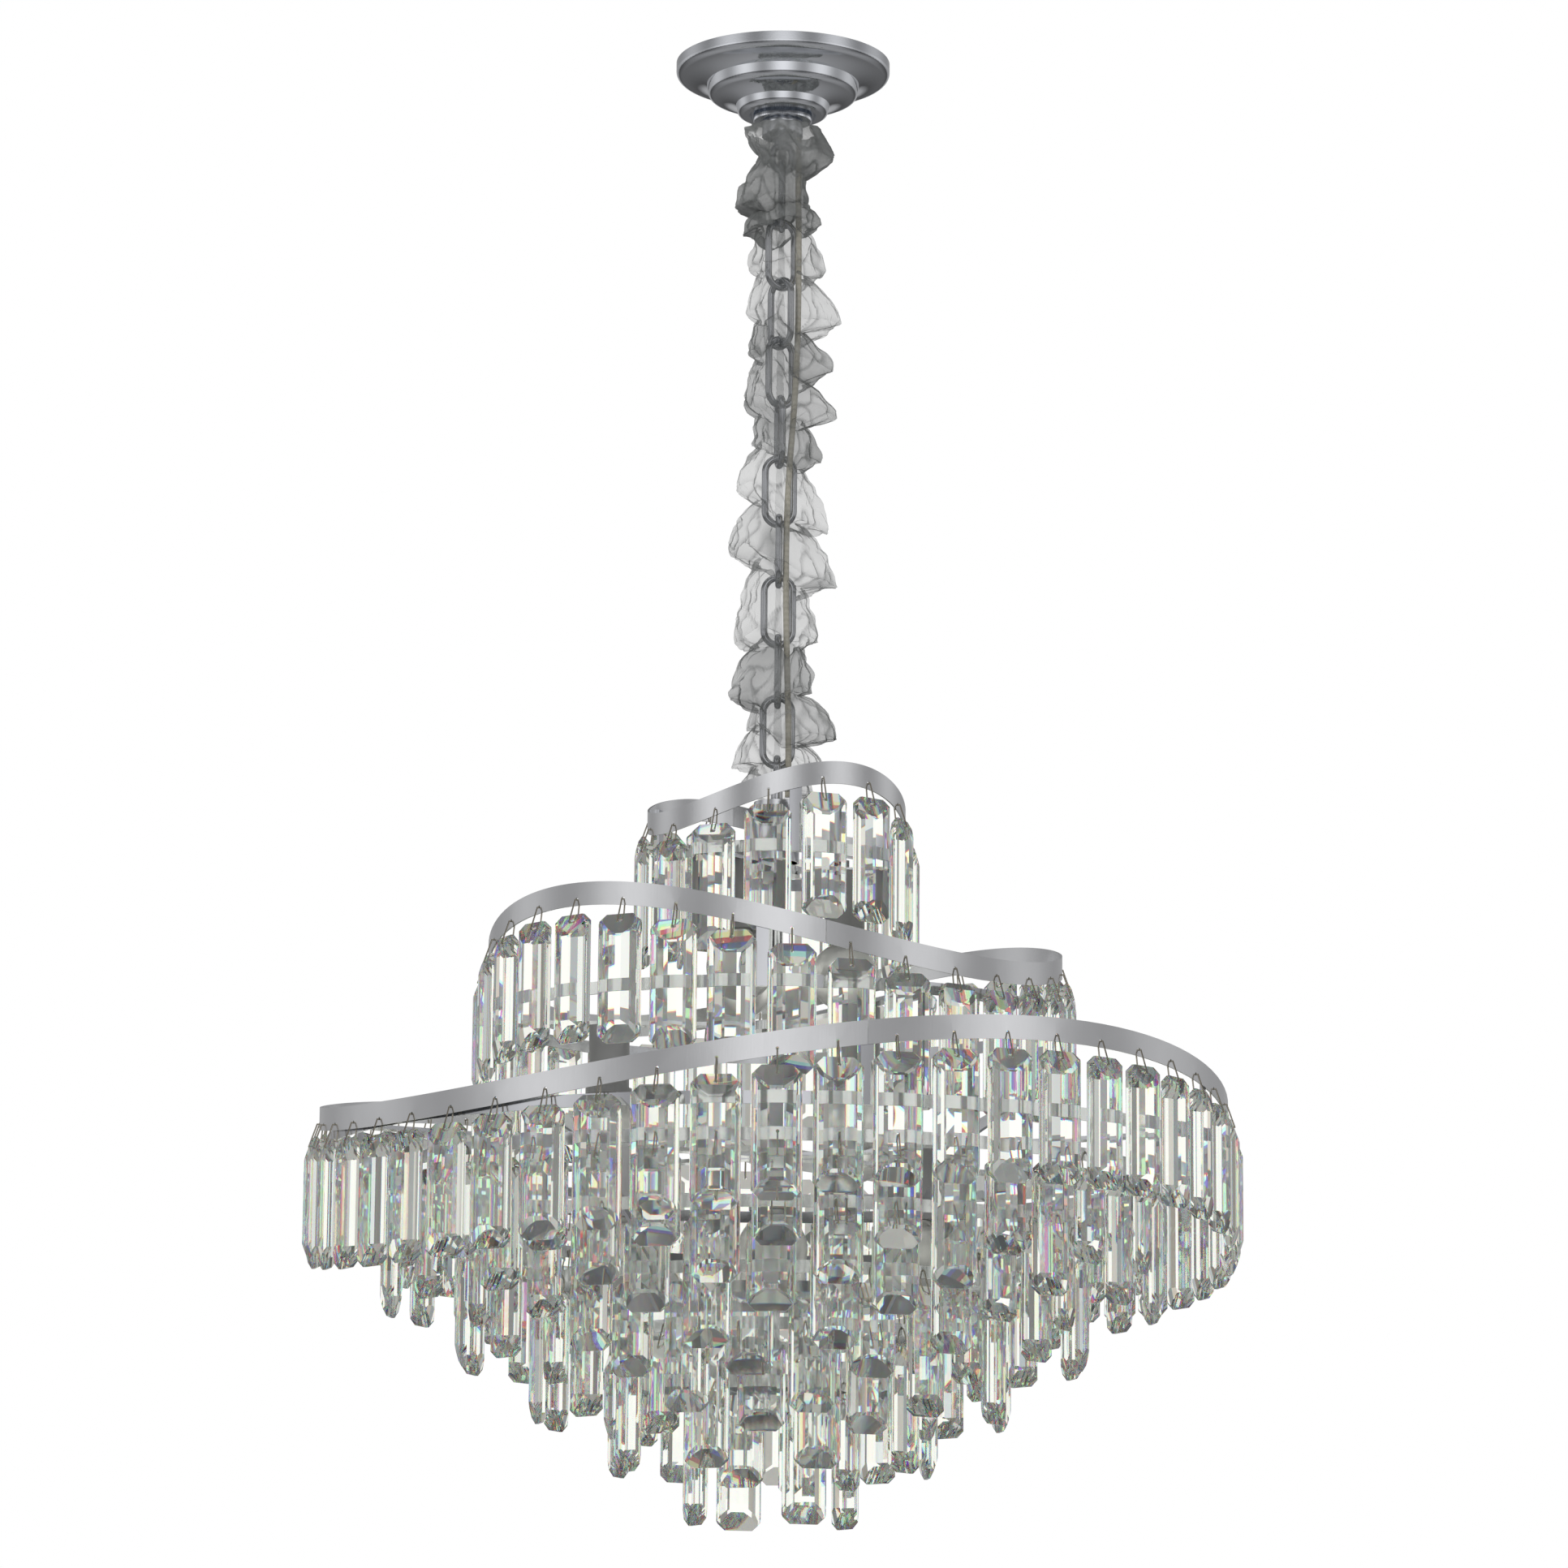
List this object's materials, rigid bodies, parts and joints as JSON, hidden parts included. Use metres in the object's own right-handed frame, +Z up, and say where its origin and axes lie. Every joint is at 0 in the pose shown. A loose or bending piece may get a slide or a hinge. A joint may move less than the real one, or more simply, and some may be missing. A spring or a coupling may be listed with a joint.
{
  "type": "crystal chandelier",
  "caption": "Chain-hung crystal chandelier: wavy metal bands and flat rings in tiers carry hanging cut-glass drops, under a stepped round canopy with a gathered chain sleeve.",
  "frame": {"origin": "on the lamp's axis in the plane of the ceiling, midway between the bracket's two screw holes", "axes": "+Z up, -Y towards the viewer of the picture (front), +X to the viewer's right"},
  "size_m": [0.6199, 0.6198, 0.9994],
  "materials": {
    "canopy_chrome": "polished chrome with a cool tint",
    "chain_chrome": "polished chrome",
    "centre_chrome": "polished chrome",
    "band_steel": "mirror-polished strip",
    "frame_steel": "plated strip, slightly dull",
    "bracket_zinc": "zinc plated",
    "hook_wire": "plated wire",
    "crystal": "clear cut glass, polished facets",
    "organza": "thin translucent organza",
    "cable_jacket": "clear jacket over tinned wires",
    "terminal_plastic": "moulded",
    "holder_plastic": "grey moulded",
    "bulb_cap": "plain",
    "bulb_glass": "frosted glass"
  },
  "bodies": {
    "ceiling": {"ceiling_bracket": "bracket_zinc", "canopy_nipple": "bracket_zinc", "bracket_nuts": "bracket_zinc", "terminal_block": "terminal_plastic", "canopy": "canopy_chrome", "ceiling_loop": "canopy_chrome"},
    "lock_ring": {"canopy_lock_ring": "canopy_chrome"},
    "top_link": {"chain_link_top": "chain_chrome"},
    "chain": {"chain_links_middle": "chain_chrome", "supply_cable": "cable_jacket", "chain_sleeve": "organza"},
    "bottom_link": {"chain_link_bottom": "chain_chrome"},
    "lamp": {"band_1": "band_steel", "band_1_drops": "crystal", "band_1_frame": "frame_steel", "band_1_hooks": "hook_wire", "band_1_struts": "frame_steel", "band_2": "band_steel", "band_2_drops": "crystal", "band_2_frame": "frame_steel", "band_2_hooks": "hook_wire", "band_2_struts": "frame_steel", "band_3": "band_steel", "band_3_drops": "crystal", "band_3_frame": "frame_steel", "band_3_hooks": "hook_wire", "band_3_struts": "frame_steel", "body_cup": "centre_chrome", "body_eye": "centre_chrome", "bottom_hub": "centre_chrome", "bulb_caps": "bulb_cap", "bulb_glasses": "bulb_glass", "cap_nut": "centre_chrome", "centre_stem": "centre_chrome", "lamp_holders": "holder_plastic", "ring_100": "frame_steel", "ring_100_drops": "crystal", "ring_100_hooks": "hook_wire", "ring_150": "frame_steel", "ring_150_drops": "crystal", "ring_150_hooks": "hook_wire", "ring_200": "frame_steel", "ring_200_drops": "crystal", "ring_200_hooks": "hook_wire", "ring_250": "frame_steel", "ring_250_drops": "crystal", "ring_250_hooks": "hook_wire", "ring_50": "frame_steel", "ring_50_hooks": "hook_wire", "ring_ribs": "frame_steel", "stem_coupler": "centre_chrome", "stem_nuts": "bracket_zinc"},
    "drop_1": {"ring_50_drop_1": "crystal"},
    "drop_2": {"ring_50_drop_2": "crystal"},
    "drop_3": {"ring_50_drop_3": "crystal"},
    "drop_4": {"ring_50_drop_4": "crystal"},
    "drop_5": {"ring_50_drop_5": "crystal"},
    "drop_6": {"ring_50_drop_6": "crystal"},
    "drop_7": {"ring_50_drop_7": "crystal"},
    "drop_8": {"ring_50_drop_8": "crystal"}
  },
  "joints": [
    {"name": "lock_ring_turn", "type": "hinge", "parent": "ceiling", "child": "lock_ring", "pos_m": [0, 0, -0.0376], "axis": [0, 0, 1], "range_deg": [0, 180]},
    {"name": "chain_swing_fore", "type": "hinge", "parent": "ceiling", "child": "top_link", "pos_m": [0, 0, -0.0734], "axis": [1, 0, 0], "range_deg": [-6, 6]},
    {"name": "chain_swing_side", "type": "hinge", "parent": "top_link", "child": "chain", "pos_m": [0, 0, -0.115], "axis": [0, 1, 0], "range_deg": [-6, 6]},
    {"name": "lamp_swing_fore", "type": "hinge", "parent": "chain", "child": "bottom_link", "pos_m": [0, 0, -0.4478], "axis": [1, 0, 0], "range_deg": [-5, 5]},
    {"name": "lamp_swing_side", "type": "hinge", "parent": "bottom_link", "child": "lamp", "pos_m": [0, 0, -0.4894], "axis": [0, 1, 0], "range_deg": [-5, 5]},
    {"name": "drop_1_sway", "type": "hinge", "parent": "lamp", "child": "drop_1", "pos_m": [-0.01952, -0.04981, -0.9213], "axis": [-0.3649, -0.9311, 0], "range_deg": [-7, 7]},
    {"name": "drop_2_sway", "type": "hinge", "parent": "lamp", "child": "drop_2", "pos_m": [0.02153, -0.04897, -0.9213], "axis": [0.4325, -0.9016, 0], "range_deg": [-7, 7]},
    {"name": "drop_3_sway", "type": "hinge", "parent": "lamp", "child": "drop_3", "pos_m": [0.04974, -0.01969, -0.9213], "axis": [0.9108, -0.4129, 0], "range_deg": [-7, 7]},
    {"name": "drop_4_sway", "type": "hinge", "parent": "lamp", "child": "drop_4", "pos_m": [0.04896, 0.02155, -0.9213], "axis": [0.8989, 0.4381, 0], "range_deg": [-7, 7]},
    {"name": "drop_5_sway", "type": "hinge", "parent": "lamp", "child": "drop_5", "pos_m": [0.01955, 0.0498, -0.9213], "axis": [0.3733, 0.9277, 0], "range_deg": [-7, 7]},
    {"name": "drop_6_sway", "type": "hinge", "parent": "lamp", "child": "drop_6", "pos_m": [-0.02133, 0.04906, -0.9213], "axis": [-0.3744, 0.9273, 0], "range_deg": [-7, 7]},
    {"name": "drop_7_sway", "type": "hinge", "parent": "lamp", "child": "drop_7", "pos_m": [-0.04987, 0.01936, -0.9213], "axis": [-0.9483, 0.3173, 0], "range_deg": [-7, 7]},
    {"name": "drop_8_sway", "type": "hinge", "parent": "lamp", "child": "drop_8", "pos_m": [-0.04909, -0.02127, -0.9213], "axis": [-0.934, -0.3574, 0], "range_deg": [-7, 7]}
  ],
  "couplings": [
    {"joint": "drop_1_sway", "follows": "lamp_swing_side", "ratio": 0.9311},
    {"joint": "drop_2_sway", "follows": "lamp_swing_side", "ratio": 0.9016},
    {"joint": "drop_3_sway", "follows": "lamp_swing_fore", "ratio": -0.9108},
    {"joint": "drop_4_sway", "follows": "lamp_swing_fore", "ratio": -0.8989},
    {"joint": "drop_5_sway", "follows": "lamp_swing_side", "ratio": -0.9277},
    {"joint": "drop_6_sway", "follows": "lamp_swing_side", "ratio": -0.9273},
    {"joint": "drop_7_sway", "follows": "lamp_swing_fore", "ratio": 0.9483},
    {"joint": "drop_8_sway", "follows": "lamp_swing_fore", "ratio": 0.934}
  ]
}
